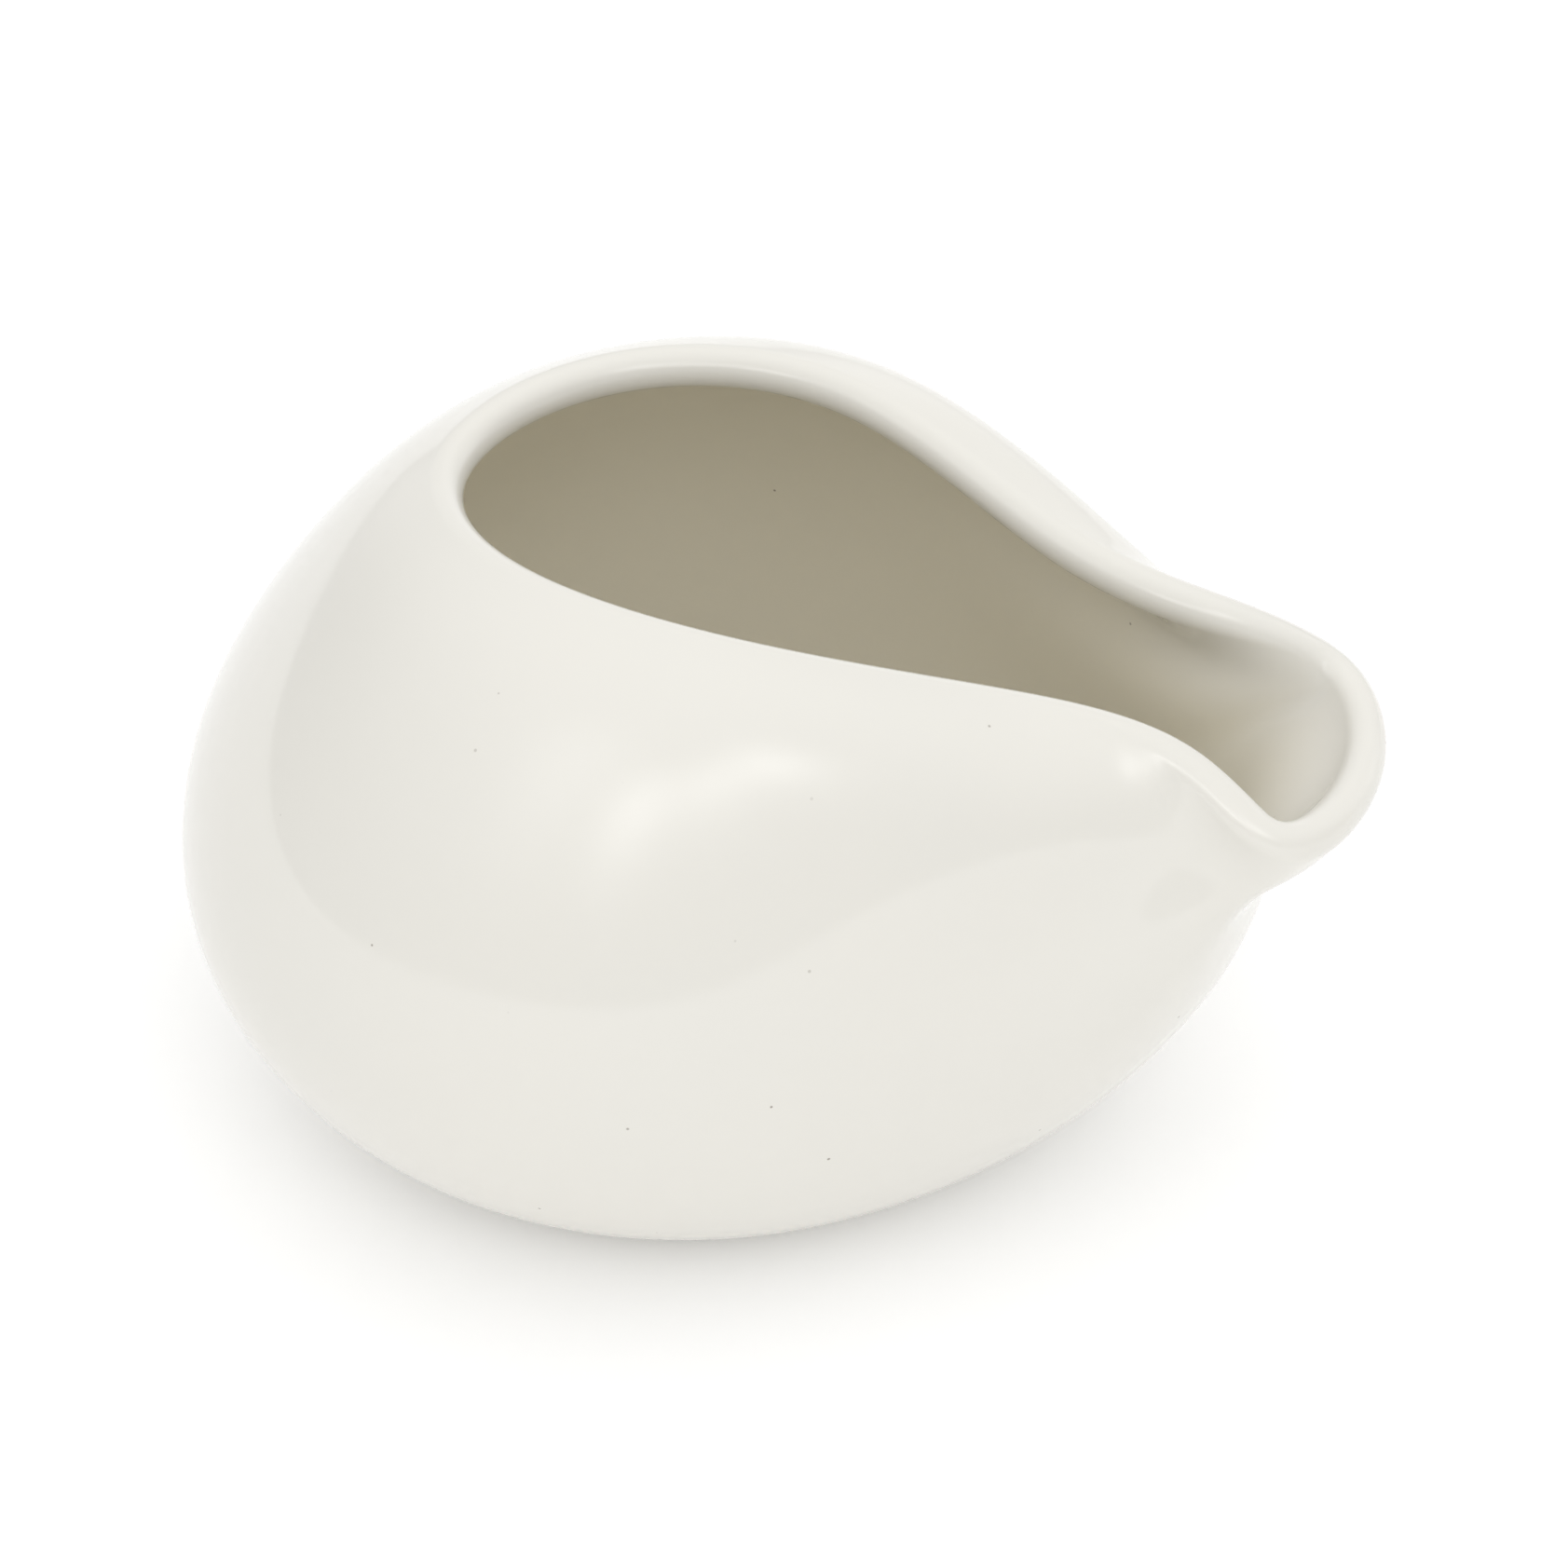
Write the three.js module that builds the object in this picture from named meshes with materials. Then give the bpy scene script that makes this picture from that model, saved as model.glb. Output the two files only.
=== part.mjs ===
// A handleless cream jug, slip cast in one piece of porcelain and glazed all over but for its foot.
// A fat pebble of a body closes in at the shoulders to a slanting pear-shaped mouth with a round lip.
// The mouth narrows to a throat and opens again into a broad pouring spout, which points along +X.
// Millimetres, +Z up, standing on z = 0, with the origin under the middle of the jug's length.
import * as THREE from "three";

// Foot: the unglazed ring that the jug stands on, and the shallow recess inside it.
const FOOT_RADIUS = 26;
const FOOT_INNER_RADIUS = 22.5;
const RECESS_RADIUS = 21;
const RECESS_DEPTH = 1.5;

// Body: its widest level is an egg with a blunt prow under the spout, higher in front than behind.
const BELLY_CENTRE_X = -1.8;
const BELLY_HALF_LENGTH = 47.6;
const BELLY_HALF_WIDTH = 48.2;
const BELLY_TAPER = 0.06;
const PROW_REACH = 7.9;
const PROW_SPREAD = 0.6;
const BELLY_HEIGHT_BACK = 26.2;
const BELLY_HEIGHT_FRONT = 34.5;
const LOW_BELLY = 0.7;
const HIGH_BELLY = 0.28;
const FLARE_REACH = 0.52;
const FLARE_HEIGHT = 4;

// Mouth: the control points of the lip's centre line, from the spout's tip round one side to the back.
const LIP_SIDE = [
  [63.3, 0, 43.6],
  [57.4, 17.5, 42.8],
  [48.4, 10.7, 50.8],
  [31.2, 11.8, 53.1],
  [7.8, 26.3, 63.3],
  [-17.5, 19.5, 63.4],
  [-27.6, 0, 61.9],
];
const LIP_RADIUS = 2;

// How far the wall leans in under the lip, in degrees from upright, and how long it keeps that slope.
// The spout leans out instead, as far round the lip from its tip as its spread, in radians.
// Its cheeks are pinched in below the lip.
const LEAN_BACK = 58;
const LEAN_SIDE = 84;
const LEAN_SPOUT = -37;
const SPOUT_SPREAD = 1.15;
const HOLD_BODY = 0.23;
const HOLD_SPOUT = 0.4;
const HOLD_SPOUT_INSIDE = 0.2;
const SPOUT_PINCH = 1.6;

// The body's stations crowd towards the prow by this many radians, to stand under the narrow spout.
const CROWDING = 0.4;

// Inside: the wall's thickness, the level of the flat floor, and how much thicker the wall is at the
// spout's cheeks and behind its prow, where the slip gathered.
const WALL = 4;
const FLOOR_HEIGHT = 5;
const FLOOR_RADIUS = 22;
const INNER_FLARE_INSET = 1.4;
const INNER_FLARE_RISE = 3.8;
const SPOUT_CHEEK = 12;
const SPOUT_FILL = 4;

// Mesh density.
const STATIONS = 72;
const OUTER_ROWS = 20;
const LIP_ROWS = 6;
const INNER_ROWS = 16;

const UP = new THREE.Vector3(0, 0, 1);

// A smooth curve's point among four neighbouring control points: a uniform cubic B-spline.
function blend(a, b, c, d, f) {
  return new THREE.Vector3()
    .addScaledVector(a, (1 - f) ** 3 / 6)
    .addScaledVector(b, (3 * f ** 3 - 6 * f ** 2 + 4) / 6)
    .addScaledVector(c, (-3 * f ** 3 + 3 * f ** 2 + 3 * f + 1) / 6)
    .addScaledVector(d, f ** 3 / 6);
}

// Both sides of the lip as one closed ring of control points.
function lipControlRing() {
  const side = LIP_SIDE.map(([x, y, z]) => new THREE.Vector3(x, y, z));
  const otherSide = LIP_SIDE.slice(1, -1).map(([x, y, z]) => new THREE.Vector3(x, -y, z));
  return [...side, ...otherSide.reverse()];
}

const LIP_RING = lipControlRing();

// The lip's centre line at an angle round the jug, where 0 is the spout and pi is the back.
function lipCentre(angle) {
  const count = LIP_RING.length;
  const place = (angle / (2 * Math.PI)) * count + count;
  const first = Math.floor(place);
  const at = (k) => LIP_RING[(first + k) % count];
  return blend(at(-1), at(0), at(1), at(2), place - first);
}

// A curve that starts and ends on its first and last control points, sampled from one to the other.
function openCurve(points, rows) {
  const last = points.length - 1;
  const before = points[0].clone().multiplyScalar(2).sub(points[1]);
  const after = points[last].clone().multiplyScalar(2).sub(points[last - 1]);
  const all = [before, ...points, after];
  return Array.from({ length: rows + 1 }, (_, row) => {
    const place = (row / rows) * last;
    const span = Math.min(Math.floor(place), last - 1);
    return blend(all[span], all[span + 1], all[span + 2], all[span + 3], place - span);
  });
}

function polar(radius, angle, height) {
  return new THREE.Vector3(radius * Math.cos(angle), radius * Math.sin(angle), height);
}

// The body's widest level, at an angle round the body.
function belly(angle) {
  const front = (1 + Math.cos(angle)) / 2;
  const prow = PROW_REACH * Math.exp(-((angle / PROW_SPREAD) ** 2));
  return new THREE.Vector3(
    BELLY_CENTRE_X + BELLY_HALF_LENGTH * Math.cos(angle) + prow,
    BELLY_HALF_WIDTH * Math.sin(angle) * (1 - BELLY_TAPER * Math.cos(angle)),
    THREE.MathUtils.lerp(BELLY_HEIGHT_BACK, BELLY_HEIGHT_FRONT, front),
  );
}

// 1 at the spout's tip, fading to 0 round the body.
function spoutShare(angle) {
  return Math.exp(-(Math.abs(angle / SPOUT_SPREAD) ** 3));
}

// The lip's own directions at a station: up along the wall, and out across its thickness.
function lipDirections(angle) {
  const step = 0.001;
  const along = lipCentre(angle + step).sub(lipCentre(angle - step));
  const outward = new THREE.Vector3(along.y, -along.x, 0).normalize();
  const bodyLean = LEAN_BACK + (LEAN_SIDE - LEAN_BACK) * Math.sin(angle) ** 2;
  const lean = THREE.MathUtils.degToRad(THREE.MathUtils.lerp(bodyLean, LEAN_SPOUT, spoutShare(angle)));
  const up = UP.clone().multiplyScalar(Math.cos(lean)).addScaledVector(outward, -Math.sin(lean));
  const out = outward.clone().multiplyScalar(Math.cos(lean)).addScaledVector(UP, Math.sin(lean));
  return { up, out };
}

// The rings that steer the outside, from the foot up to the lip, and the inside's ring under the lip.
function wallPoints(angle, bodyAngle) {
  const foot = polar(FOOT_RADIUS, bodyAngle, 0);
  const wide = belly(bodyAngle);
  const flare = foot.clone().lerp(wide, FLARE_REACH).setZ(FLARE_HEIGHT);
  const low = wide.clone().setZ(LOW_BELLY * wide.z);

  const centre = lipCentre(angle);
  const { up, out } = lipDirections(angle);
  const lipOuter = centre.clone().addScaledVector(out, LIP_RADIUS);
  const lipInner = centre.clone().addScaledVector(out, -LIP_RADIUS);
  const spout = spoutShare(angle);
  const cheek = spout * Math.sin(angle) ** 2;
  const high = wide.clone().lerp(lipOuter, SPOUT_PINCH * cheek);
  high.setZ(THREE.MathUtils.lerp(wide.z, lipOuter.z, HIGH_BELLY));
  const reach = lipOuter.distanceTo(wide);
  const hold = THREE.MathUtils.lerp(HOLD_BODY, HOLD_SPOUT, spout) * reach;
  const holdInside = THREE.MathUtils.lerp(HOLD_BODY, HOLD_SPOUT_INSIDE, spout) * reach;
  const shoulder = lipOuter.clone().addScaledVector(up, -hold);
  const shoulderInside = lipInner.clone().addScaledVector(up, -holdInside);
  return { foot, flare, low, high, shoulder, lipOuter, lipInner, shoulderInside };
}

// The inside wall, from the lip down to the flat floor.
function insideRows(angle, bodyAngle, wall) {
  const radial = polar(1, bodyAngle, 0);
  const spout = spoutShare(angle);
  const high = wall.high.clone().addScaledVector(radial, -WALL);
  high.y -= Math.sign(Math.sin(angle)) * SPOUT_CHEEK * spout * Math.sin(angle) ** 2;
  const low = wall.low.clone().addScaledVector(radial, -WALL - SPOUT_FILL * spout);
  const flare = wall.flare.clone().addScaledVector(radial, -INNER_FLARE_INSET);
  flare.z += INNER_FLARE_RISE;
  const floorEdge = polar(FLOOR_RADIUS, bodyAngle, FLOOR_HEIGHT);
  const floorCentre = new THREE.Vector3(0, 0, FLOOR_HEIGHT);
  const points = [wall.lipInner, wall.shoulderInside, high, low, flare, floorEdge, floorCentre];
  return openCurve(points, INNER_ROWS).slice(0, -1);
}

// One upright section: the jug's whole profile at a station, from the recess up, over and down inside.
function section(angle) {
  const bodyAngle = angle - CROWDING * Math.sin(angle);
  const wall = wallPoints(angle, bodyAngle);
  const base = [
    polar(RECESS_RADIUS, bodyAngle, RECESS_DEPTH),
    polar(FOOT_INNER_RADIUS, bodyAngle, 0),
  ];
  const outside = [wall.foot, wall.flare, wall.low, wall.high, wall.shoulder, wall.lipOuter];
  const centre = lipCentre(angle);
  const { up, out } = lipDirections(angle);
  const lip = Array.from({ length: LIP_ROWS - 1 }, (_, k) => {
    const roll = (Math.PI * (k + 1)) / LIP_ROWS;
    return centre
      .clone()
      .addScaledVector(out, LIP_RADIUS * Math.cos(roll))
      .addScaledVector(up, LIP_RADIUS * Math.sin(roll));
  });
  const inside = insideRows(angle, bodyAngle, wall);
  return [...base, ...openCurve(outside, OUTER_ROWS), ...lip, ...inside];
}

// The sections joined into one closed skin, with a fan of triangles at the recess and at the floor.
function jugGeometry() {
  const sections = Array.from({ length: STATIONS }, (_, k) => {
    const turn = (2 * Math.PI * k) / STATIONS;
    return section(turn > Math.PI ? turn - 2 * Math.PI : turn);
  });
  const rows = sections[0].length;
  const points = sections.flat();
  const recessCentre = points.push(new THREE.Vector3(0, 0, RECESS_DEPTH)) - 1;
  const floorCentre = points.push(new THREE.Vector3(0, 0, FLOOR_HEIGHT)) - 1;
  const faces = [];
  for (let station = 0; station < STATIONS; station++) {
    const here = station * rows;
    const next = ((station + 1) % STATIONS) * rows;
    faces.push(recessCentre, next, here);
    for (let row = 0; row < rows - 1; row++) {
      faces.push(here + row, next + row, next + row + 1);
      faces.push(here + row, next + row + 1, here + row + 1);
    }
    faces.push(floorCentre, here + rows - 1, next + rows - 1);
  }
  const geometry = new THREE.BufferGeometry().setFromPoints(points);
  geometry.setIndex(faces);
  geometry.computeBoundingBox();
  const middle = geometry.boundingBox.getCenter(new THREE.Vector3());
  geometry.translate(-middle.x, 0, 0);
  geometry.computeVertexNormals();
  return geometry;
}

const glazedPorcelain = new THREE.MeshStandardMaterial({
  color: 0xeeebe2,
  roughness: 0.12,
  metalness: 0,
});

const jugBody = new THREE.Mesh(jugGeometry(), glazedPorcelain);
jugBody.name = "jug_body";

const creamJug = new THREE.Group();
creamJug.add(jugBody);

export default creamJug;
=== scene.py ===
"""The looks of a handleless cream jug: glossy ivory porcelain with a bare foot ring.

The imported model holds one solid, jug_body. This script lays a much finer skin over the same
design, gives it its glaze, and sets up a pale studio with the camera and the lights.
"""
import math

import bpy
import numpy as np
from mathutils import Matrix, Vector


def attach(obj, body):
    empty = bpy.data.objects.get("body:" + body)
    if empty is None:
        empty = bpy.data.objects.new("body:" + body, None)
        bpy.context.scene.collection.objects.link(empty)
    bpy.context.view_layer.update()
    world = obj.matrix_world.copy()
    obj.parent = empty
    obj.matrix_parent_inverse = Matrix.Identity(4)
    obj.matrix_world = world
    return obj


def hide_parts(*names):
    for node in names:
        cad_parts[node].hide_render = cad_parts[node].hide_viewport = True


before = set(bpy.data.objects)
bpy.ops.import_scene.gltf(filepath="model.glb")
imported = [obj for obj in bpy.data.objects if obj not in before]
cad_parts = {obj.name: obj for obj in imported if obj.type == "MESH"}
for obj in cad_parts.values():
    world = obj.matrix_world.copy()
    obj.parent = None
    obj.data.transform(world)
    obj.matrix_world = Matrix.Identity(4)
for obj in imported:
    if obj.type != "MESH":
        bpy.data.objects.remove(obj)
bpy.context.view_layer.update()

# ---- The jug's design, in millimetres and degrees, as its CAD solid has it ----

FOOT_RADIUS = 26
FOOT_INNER_RADIUS = 22.5
RECESS_RADIUS = 21
RECESS_DEPTH = 1.5

BELLY_CENTRE_X = -1.8
BELLY_HALF_LENGTH = 47.6
BELLY_HALF_WIDTH = 48.2
BELLY_TAPER = 0.06
PROW_REACH = 7.9
PROW_SPREAD = 0.6
BELLY_HEIGHT_BACK = 26.2
BELLY_HEIGHT_FRONT = 34.5
LOW_BELLY = 0.7
HIGH_BELLY = 0.28
FLARE_REACH = 0.52
FLARE_HEIGHT = 4

# The lip's centre line: its control points from the spout's tip round one side to the back. They
# come from a least-squares fit, rounded to a tenth of a millimetre.
LIP_SIDE = [
    (63.3, 0, 43.6),
    (57.4, 17.5, 42.8),
    (48.4, 10.7, 50.8),
    (31.2, 11.8, 53.1),
    (7.8, 26.3, 63.3),
    (-17.5, 19.5, 63.4),
    (-27.6, 0, 61.9),
]
LIP_RADIUS = 2

# How far the wall leans in under the lip, and how long it keeps that slope.
LEAN_BACK = 58
LEAN_SIDE = 84
LEAN_SPOUT = -37
SPOUT_SPREAD = 1.15
HOLD_BODY = 0.23
HOLD_SPOUT = 0.4
HOLD_SPOUT_INSIDE = 0.2
SPOUT_PINCH = 1.6
CROWDING = 0.4

WALL = 4
FLOOR_HEIGHT = 5
FLOOR_RADIUS = 22
INNER_FLARE_INSET = 1.4
INNER_FLARE_RISE = 3.8
SPOUT_CHEEK = 12
SPOUT_FILL = 4

# ---- How finely the skin is laid, and the small roundings that only the skin has ----

STATIONS = 288
OUTER_ROWS = 100
LIP_ROWS = 20
INNER_ROWS = 90
EDGE_ROWS = 6
EDGE_ROUNDING = 0.6

# ---- The finish, with lengths in millimetres ----

# The glaze is a little thinner and less warm in patches. Inside, a lighter, warmer colour that deepens
# below the lip is painted bounce light, standing in for light bounced about inside the jug.
GLAZE_COLOUR = (0.803, 0.782, 0.723)
GLAZE_THIN_COLOUR = (0.79, 0.775, 0.723)
INSIDE_BOUNCE_LIGHT_COLOUR = (0.855, 0.815, 0.70)
BOUNCE_LIGHT_DEPTH = 16
GLAZE_IOR = 1.5
GLAZE_ROUGHNESS = (0.06, 0.11)
GLAZE_WAVES = 0.03
PATCH_SIZE = 22
POLISH_SIZE = 9
POLISH_NOISE = (0.3, 0.7)
WAVE_SIZE = 15
BLOTCH_DETAIL = 1.0

# Where the glaze stops above the bare foot ring, in a thin brownish line.
GLAZE_EDGE = 0.3
GLAZE_EDGE_WOBBLE = 0.35
WOBBLE_SIZE = 4
GLAZE_EDGE_COLOUR = (0.55, 0.44, 0.32)
GLAZE_EDGE_STRENGTH = 2.0
BARE_COLOUR = (0.80, 0.765, 0.69)
BARE_DARK_COLOUR = (0.70, 0.66, 0.58)
BARE_ROUGHNESS = 0.65
GRAIN_SIZE = 0.3
GRIT_DEPTH = 0.02

SPECK_SPACING = 5.2
SPECK_RADIUS = 0.2
SPECK_COLOUR = (0.16, 0.12, 0.08)
SPECK_CHANCE = (0.1, 0.9)
SPECK_DARKNESS = (0.15, 0.75)

FLOOR_COLOUR = (0.92, 0.92, 0.92, 1)
FLOOR_GLOW = 0.14
FLOOR_ROUGHNESS = 0.9
STUDIO_SIZE = 6.0

# The light tent: its radiance at the horizon and overhead, what its foot adds near the floor and up to
# what height on a unit sphere, and how pale it looks behind the jug. Then the soft lights behind its
# cloth, each with its azimuth from +X, its elevation and its spread in degrees, and its radiance.
TENT_RADIANCE = (0.15, 1.2)
TENT_FOOT_RADIANCE = 0.2
TENT_FOOT_HEIGHT = 0.3
BACKDROP_RADIANCE = 1.0
GLOWS = [
    (-115, 40, 14, 1.0),
    (-87, 31, 9, 2.6),
    (-67, 34, 9, 1.8),
    (-48, 40, 10, 2.4),
    (50, 12, 18, 1.0),
    (90, 12, 18, 0.8),
    (130, 12, 18, 0.6),
]

MM = 0.001
UP = np.array([0.0, 0.0, 1.0])


def blend(a, b, c, d, f):
    """A smooth curve's point among four neighbouring control points: a uniform cubic B-spline."""
    return (
        (1 - f) ** 3 * a
        + (3 * f**3 - 6 * f**2 + 4) * b
        + (-3 * f**3 + 3 * f**2 + 3 * f + 1) * c
        + f**3 * d
    ) / 6


def mix(a, b, share):
    return a + (b - a) * share


def lip_centre(angle):
    """The lip's centre line, where angle 0 is the spout and pi is the back."""
    side = np.array(LIP_SIDE, float)
    other_side = side[-2:0:-1] * (1, -1, 1)
    ring = np.concatenate([side, other_side])
    place = angle / (2 * math.pi) * len(ring)
    first = np.floor(place).astype(int)
    near = [ring[(first + k) % len(ring)] for k in (-1, 0, 1, 2)]
    return blend(*near, (place - first)[:, None])


def open_curve(points, rows):
    """Rows of points along a curve that starts and ends on its first and last control points."""
    points = [2 * points[0] - points[1], *points, 2 * points[-1] - points[-2]]
    spans = len(points) - 3
    curve = []
    for place in np.linspace(0, spans, rows + 1):
        span = min(int(place), spans - 1)
        curve.append(blend(*points[span : span + 4], place - span))
    return curve


def ring_at(x, y, z):
    return np.stack(np.broadcast_arrays(x, y, z), axis=1).astype(float)


def polar(radius, angle, height):
    return ring_at(radius * np.cos(angle), radius * np.sin(angle), height)


def at_height(points, height):
    return ring_at(points[:, 0], points[:, 1], height)


def belly(angle):
    """The body's widest level, an egg with a blunt prow under the spout."""
    front = (1 + np.cos(angle)) / 2
    prow = PROW_REACH * np.exp(-((angle / PROW_SPREAD) ** 2))
    return ring_at(
        BELLY_CENTRE_X + BELLY_HALF_LENGTH * np.cos(angle) + prow,
        BELLY_HALF_WIDTH * np.sin(angle) * (1 - BELLY_TAPER * np.cos(angle)),
        mix(BELLY_HEIGHT_BACK, BELLY_HEIGHT_FRONT, front),
    )


def spout_share(angle):
    """1 at the spout's tip, fading to 0 at the body."""
    return np.exp(-(np.abs(angle / SPOUT_SPREAD) ** 3))


def lip_directions(angle):
    """At each station: up along the wall under the lip, and out across the lip."""
    step = 0.001
    along = lip_centre(angle + step) - lip_centre(angle - step)
    outward = ring_at(along[:, 1], -along[:, 0], 0)
    outward /= np.linalg.norm(outward, axis=1)[:, None]
    body_lean = LEAN_BACK + (LEAN_SIDE - LEAN_BACK) * np.sin(angle) ** 2
    lean = np.radians(mix(body_lean, LEAN_SPOUT, spout_share(angle)))[:, None]
    up = np.cos(lean) * UP - np.sin(lean) * outward
    out = np.cos(lean) * outward + np.sin(lean) * UP
    return up, out


def rounded(before, corner, after):
    """Rows that round off a corner, from one point to another."""
    shares = np.linspace(0, 1, EDGE_ROWS + 1)
    return [mix(mix(before, corner, s), mix(corner, after, s), s) for s in shares]


def base_rows(angle, outer_start):
    """The underside: a recess, its slope and the foot ring, with every edge rounded."""
    recess = polar(RECESS_RADIUS, angle, RECESS_DEPTH)
    ring_inner = polar(FOOT_INNER_RADIUS, angle, 0)
    ring_outer = polar(FOOT_RADIUS, angle, 0)
    radial = polar(1, angle, 0)
    slope = (ring_inner - recess) / np.linalg.norm(ring_inner - recess, axis=1)[:, None]
    return [
        *rounded(recess - EDGE_ROUNDING * radial, recess, recess + EDGE_ROUNDING * slope),
        *rounded(ring_inner - EDGE_ROUNDING * slope, ring_inner, ring_inner + EDGE_ROUNDING * radial),
        *rounded(ring_outer - EDGE_ROUNDING * radial, ring_outer, outer_start),
    ]


def skin_rows(angle):
    """The jug's skin as rings of points: from the recess below, over the lip, to the floor inside."""
    body_angle = angle - CROWDING * np.sin(angle)
    radial = polar(1, body_angle, 0)
    foot = polar(FOOT_RADIUS, body_angle, 0)
    wide = belly(body_angle)
    flare = at_height(mix(foot, wide, FLARE_REACH), FLARE_HEIGHT)
    low = at_height(wide, LOW_BELLY * wide[:, 2])

    spout = spout_share(angle)[:, None]
    cheek = spout * np.sin(angle)[:, None] ** 2
    centre = lip_centre(angle)
    up, out = lip_directions(angle)
    lip_outer = centre + LIP_RADIUS * out
    lip_inner = centre - LIP_RADIUS * out
    high = mix(wide, lip_outer, SPOUT_PINCH * cheek)
    high = at_height(high, mix(wide[:, 2], lip_outer[:, 2], HIGH_BELLY))
    slope = np.linalg.norm(lip_outer - wide, axis=1)[:, None] * up
    shoulder = lip_outer - mix(HOLD_BODY, HOLD_SPOUT, spout) * slope
    shoulder_inside = lip_inner - mix(HOLD_BODY, HOLD_SPOUT_INSIDE, spout) * slope
    sideways = ring_at(0, np.sign(np.sin(angle)), 0)

    outer = open_curve([foot, flare, low, high, shoulder, lip_outer], OUTER_ROWS)
    rolls = np.linspace(0, math.pi, LIP_ROWS + 1)[1:-1]
    lip = [centre + LIP_RADIUS * (math.cos(r) * out + math.sin(r) * up) for r in rolls]
    inner = open_curve(
        [
            lip_inner,
            shoulder_inside,
            high - WALL * radial - SPOUT_CHEEK * cheek * sideways,
            low - (WALL + SPOUT_FILL * spout) * radial,
            at_height(flare - INNER_FLARE_INSET * radial, FLARE_HEIGHT + INNER_FLARE_RISE),
            polar(FLOOR_RADIUS, body_angle, FLOOR_HEIGHT),
            polar(0, body_angle, FLOOR_HEIGHT),
        ],
        INNER_ROWS,
    )
    base = base_rows(body_angle, outer[1])
    outside = [*base, *outer[2:], *lip]
    return np.array(outside + inner[:-1]), len(outside)


def inside_depth(rows, first_inside):
    """How far each point is below the lip, along the inside, and 0 on the outside."""
    steps = np.linalg.norm(np.diff(rows, axis=0), axis=2)
    steps[:first_inside] = 0
    depth = np.concatenate([np.zeros((1, rows.shape[1])), np.cumsum(steps, axis=0)])
    return depth.ravel()


def skin_mesh(name):
    """The skin as one closed mesh, with a fan of triangles at the recess and at the floor."""
    turn = np.linspace(0, 2 * math.pi, STATIONS, endpoint=False)
    rows, first_inside = skin_rows(np.where(turn > math.pi, turn - 2 * math.pi, turn))
    count = len(rows)
    depth = inside_depth(rows, first_inside)
    depth = np.append(depth, (0, depth[-1]))
    points = rows.reshape(-1, 3)
    points = np.concatenate([points, [(0, 0, RECESS_DEPTH), (0, 0, FLOOR_HEIGHT)]])
    middle = (points[:, 0].min() + points[:, 0].max()) / 2
    points[:, 0] -= middle
    recess_centre = count * STATIONS
    floor_centre = recess_centre + 1
    faces = []
    for station in range(STATIONS):
        after = (station + 1) % STATIONS
        faces.append((recess_centre, after, station))
        faces.append((floor_centre, (count - 1) * STATIONS + station, (count - 1) * STATIONS + after))
        for row in range(count - 1):
            here = row * STATIONS
            there = here + STATIONS
            faces.append((here + station, here + after, there + after, there + station))
    mesh = bpy.data.meshes.new(name)
    mesh.from_pydata((points * MM).tolist(), [], faces)
    mesh.attributes.new("inside_depth", "FLOAT", "POINT").data.foreach_set("value", depth)
    mesh.shade_smooth()
    mesh.update()
    return mesh


def add(name, data):
    obj = bpy.data.objects.new(name, data)
    bpy.context.scene.collection.objects.link(obj)
    return obj


# ---- Materials ----


def node(tree, kind, inputs, **settings):
    """A new shader node. An input that is given another node's socket is linked to it."""
    made = tree.nodes.new(kind)
    for name, value in settings.items():
        setattr(made, name, value)
    for name, value in inputs.items():
        if isinstance(value, bpy.types.NodeSocket):
            tree.links.new(value, made.inputs[name])
        else:
            made.inputs[name].default_value = value
    return made


def maths(tree, operation, first, second=0.0):
    return node(tree, "ShaderNodeMath", {0: first, 1: second}, operation=operation).outputs[0]


def blotches(tree, place, size):
    """Noise between 0 and 1, in blotches of about a size in millimetres."""
    inputs = {"Vector": place, "Scale": 1 / size, "Detail": BLOTCH_DETAIL}
    return node(tree, "ShaderNodeTexNoise", inputs).outputs["Fac"]


def ramp(tree, value, start, end, low=0.0, high=1.0):
    """A smooth change from low to high while a value goes from start to end."""
    inputs = {"Value": value, "From Min": start, "From Max": end, "To Min": low, "To Max": high}
    return node(tree, "ShaderNodeMapRange", inputs, interpolation_type="SMOOTHSTEP").outputs["Result"]


def tint(tree, share, first, second):
    """A mix of two colours, each a colour or a socket."""
    mixed = node(tree, "ShaderNodeMix", {"Factor": share}, data_type="RGBA")
    for name, colour in (("A", first), ("B", second)):
        socket = next(s for s in mixed.inputs if s.name == name and s.type == "RGBA")
        if isinstance(colour, bpy.types.NodeSocket):
            tree.links.new(colour, socket)
        else:
            socket.default_value = (*colour, 1)
    return next(s for s in mixed.outputs if s.type == "RGBA")


def specks(tree, place):
    """How dark the tiny iron specks in the glaze are, from 0 between them."""
    inputs = {"Vector": place, "Scale": 1 / SPECK_SPACING}
    cells = node(tree, "ShaderNodeTexVoronoi", inputs)
    distance = maths(tree, "MULTIPLY", cells.outputs["Distance"], SPECK_SPACING)
    spot = ramp(tree, distance, SPECK_RADIUS, SPECK_RADIUS / 2)
    chance = node(tree, "ShaderNodeSeparateColor", {"Color": cells.outputs["Color"]}).outputs[0]
    return maths(tree, "MULTIPLY", spot, ramp(tree, chance, *SPECK_CHANCE, *SPECK_DARKNESS))


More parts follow.
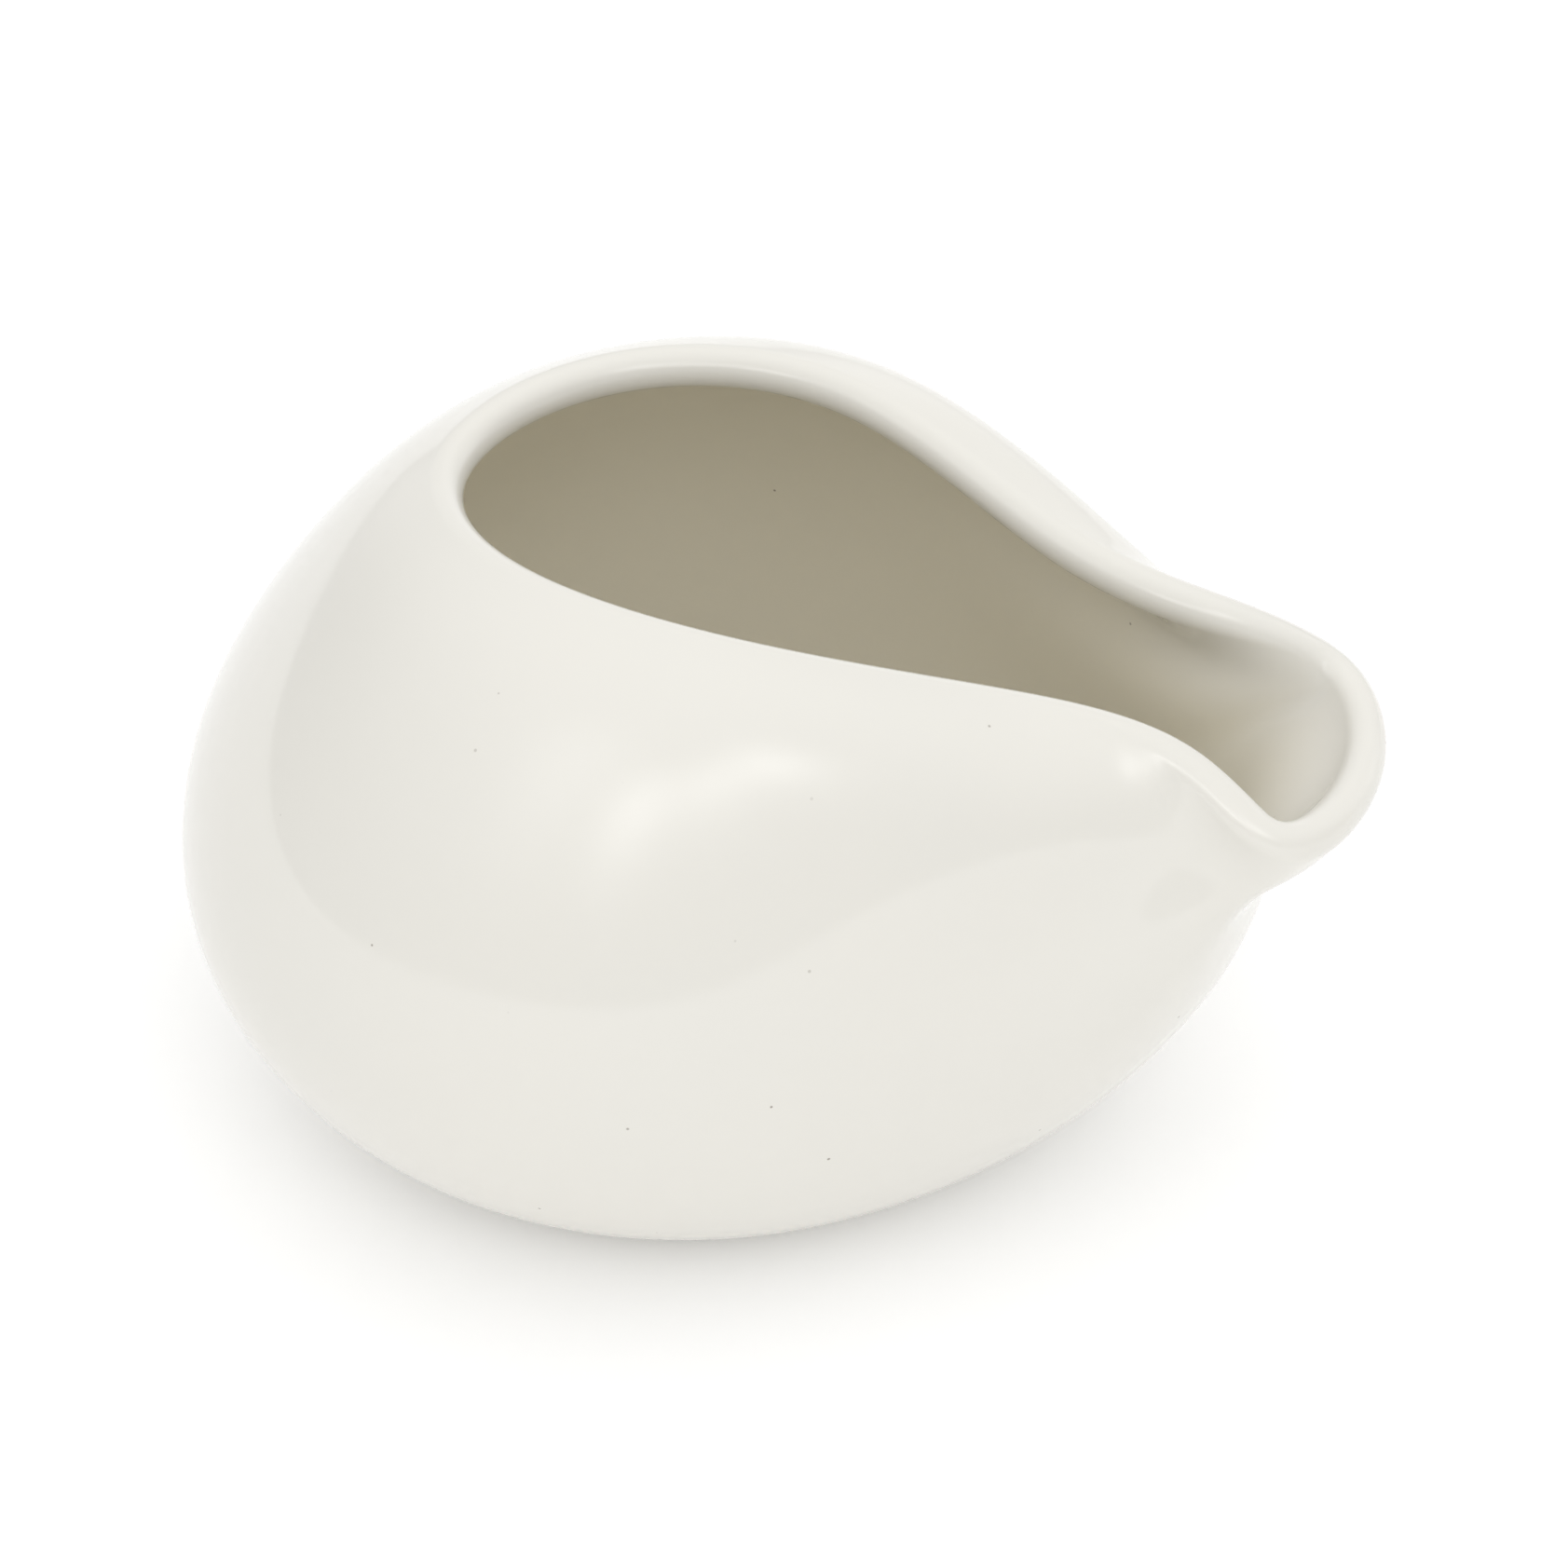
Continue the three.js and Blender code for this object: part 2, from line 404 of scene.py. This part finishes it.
def glaze_material():
    """Glossy ivory glaze over the whole jug, and matt bare porcelain where it stands."""
    material = bpy.data.materials.new("glazed_porcelain")
    material.use_nodes = True
    tree = material.node_tree
    shader = tree.nodes["Principled BSDF"]
    shader.inputs["IOR"].default_value = GLAZE_IOR

    coordinates = node(tree, "ShaderNodeTexCoord", {}).outputs["Object"]
    scaled = {"Vector": coordinates, "Scale": 1 / MM}
    place = node(tree, "ShaderNodeVectorMath", scaled, operation="SCALE").outputs["Vector"]
    height = node(tree, "ShaderNodeSeparateXYZ", {"Vector": place}).outputs["Z"]
    depth = node(tree, "ShaderNodeAttribute", {}, attribute_name="inside_depth").outputs["Fac"]

    wobble = maths(tree, "MULTIPLY", blotches(tree, place, WOBBLE_SIZE), GLAZE_EDGE_WOBBLE)
    bare = ramp(tree, maths(tree, "SUBTRACT", height, wobble), GLAZE_EDGE, GLAZE_EDGE / 3)
    glaze_edge = maths(tree, "MULTIPLY", bare, maths(tree, "SUBTRACT", 1.0, bare))
    grain = blotches(tree, place, GRAIN_SIZE)

    glaze = tint(tree, blotches(tree, place, PATCH_SIZE), GLAZE_COLOUR, GLAZE_THIN_COLOUR)
    # Painted bounce light: below the lip the inside turns lighter and warmer, standing in for light bounced
    # about inside the jug.
    glaze = tint(tree, ramp(tree, depth, 0.0, BOUNCE_LIGHT_DEPTH), glaze, INSIDE_BOUNCE_LIGHT_COLOUR)
    glaze = tint(tree, specks(tree, place), glaze, SPECK_COLOUR)
    biscuit = tint(tree, grain, BARE_COLOUR, BARE_DARK_COLOUR)
    colour = tint(tree, bare, glaze, biscuit)
    colour = tint(tree, maths(tree, "MULTIPLY", glaze_edge, GLAZE_EDGE_STRENGTH), colour, GLAZE_EDGE_COLOUR)
    tree.links.new(colour, shader.inputs["Base Color"])

    polish = ramp(tree, blotches(tree, place, POLISH_SIZE), *POLISH_NOISE, *GLAZE_ROUGHNESS)
    roughness = maths(tree, "ADD", polish, maths(tree, "MULTIPLY", bare, BARE_ROUGHNESS))
    tree.links.new(roughness, shader.inputs["Roughness"])

    waves = maths(tree, "MULTIPLY", blotches(tree, place, WAVE_SIZE), GLAZE_WAVES)
    grit = maths(tree, "MULTIPLY", maths(tree, "MULTIPLY", grain, bare), GRIT_DEPTH)
    relief = maths(tree, "ADD", waves, grit)
    bump = node(tree, "ShaderNodeBump", {"Height": relief, "Distance": MM})
    tree.links.new(bump.outputs["Normal"], shader.inputs["Normal"])
    return material


def floor_material():
    material = bpy.data.materials.new("studio_floor")
    material.use_nodes = True
    shader = material.node_tree.nodes["Principled BSDF"]
    shader.inputs["Base Color"].default_value = FLOOR_COLOUR
    shader.inputs["Emission Color"].default_value = FLOOR_COLOUR
    shader.inputs["Emission Strength"].default_value = FLOOR_GLOW
    shader.inputs["Roughness"].default_value = FLOOR_ROUGHNESS
    return material


# ---- The jug ----

jug = add("jug_skin", skin_mesh("jug_skin"))
jug.data.materials.append(glaze_material())
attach(jug, "root")
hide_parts("jug_body")

# ---- Studio ----


def studio_floor(size):
    mesh = bpy.data.meshes.new("studio_floor")
    half = size / 2
    corners = [(-half, -half, 0), (half, -half, 0), (half, half, 0), (-half, half, 0)]
    mesh.from_pydata(corners, [], [(0, 1, 2, 3)])
    mesh.materials.append(floor_material())
    floor = add("studio_floor", mesh)


def toward(azimuth, elevation):
    """The direction at an azimuth from +X and an elevation, both in degrees."""
    a, e = math.radians(azimuth), math.radians(elevation)
    return (math.cos(a) * math.cos(e), math.sin(a) * math.cos(e), math.sin(e))


def glow(tree, direction, azimuth, elevation, spread, strength):
    """A round soft light in the tent, brightest in its middle."""
    inputs = {0: direction, 1: toward(azimuth, elevation)}
    facing = node(tree, "ShaderNodeVectorMath", inputs, operation="DOT_PRODUCT").outputs["Value"]
    away = maths(tree, "DIVIDE", maths(tree, "ARCCOSINE", facing), math.radians(spread))
    fading = maths(tree, "EXPONENT", maths(tree, "MULTIPLY", maths(tree, "MULTIPLY", away, away), -1.0))
    return maths(tree, "MULTIPLY", fading, strength)


def light_tent():
    """A pale tent that is brighter overhead, with soft lights behind its cloth."""
    world = bpy.data.worlds.new("studio")
    bpy.context.scene.world = world
    world.use_nodes = True
    tree = world.node_tree
    direction = node(tree, "ShaderNodeTexCoord", {}).outputs["Generated"]
    height = node(tree, "ShaderNodeSeparateXYZ", {"Vector": direction}).outputs["Z"]
    light = ramp(tree, height, 0.0, 1.0, *TENT_RADIANCE)
    light = maths(tree, "ADD", light, ramp(tree, height, 0.0, TENT_FOOT_HEIGHT, TENT_FOOT_RADIANCE, 0.0))
    for place in GLOWS:
        light = maths(tree, "ADD", light, glow(tree, direction, *place))
    seen = node(tree, "ShaderNodeLightPath", {}).outputs["Is Camera Ray"]
    light = maths(tree, "MAXIMUM", light, maths(tree, "MULTIPLY", seen, BACKDROP_RADIANCE))
    tree.links.new(light, tree.nodes["Background"].inputs["Strength"])
    tree.nodes["Background"].inputs["Color"].default_value = (1, 1, 1, 1)


studio_floor(STUDIO_SIZE)
light_tent()
bpy.context.scene.view_settings.view_transform = "Standard"

# ---- Camera, with angles in degrees and lengths in metres, but for its sensor in millimetres ----

CAMERA_AZIMUTH = 15
CAMERA_ELEVATION = 35
CAMERA_DISTANCE = 0.6
CAMERA_TARGET = (-0.00724, 0, 0.035)
VIEW_WIDTH = 0.14635
SENSOR_WIDTH = 36
SHIFT = (0.05, -0.022)

camera_data = bpy.data.cameras.new("camera")
camera = add("camera", camera_data)
bpy.context.scene.camera = camera
a, e = math.radians(CAMERA_AZIMUTH), math.radians(CAMERA_ELEVATION)
back = Vector((math.sin(a) * math.cos(e), -math.cos(a) * math.cos(e), math.sin(e)))
camera.location = Vector(CAMERA_TARGET) + back * CAMERA_DISTANCE
camera.rotation_euler = back.to_track_quat("Z", "Y").to_euler()
camera_data.sensor_width = SENSOR_WIDTH
camera_data.lens = SENSOR_WIDTH * CAMERA_DISTANCE / VIEW_WIDTH
camera_data.shift_x, camera_data.shift_y = SHIFT
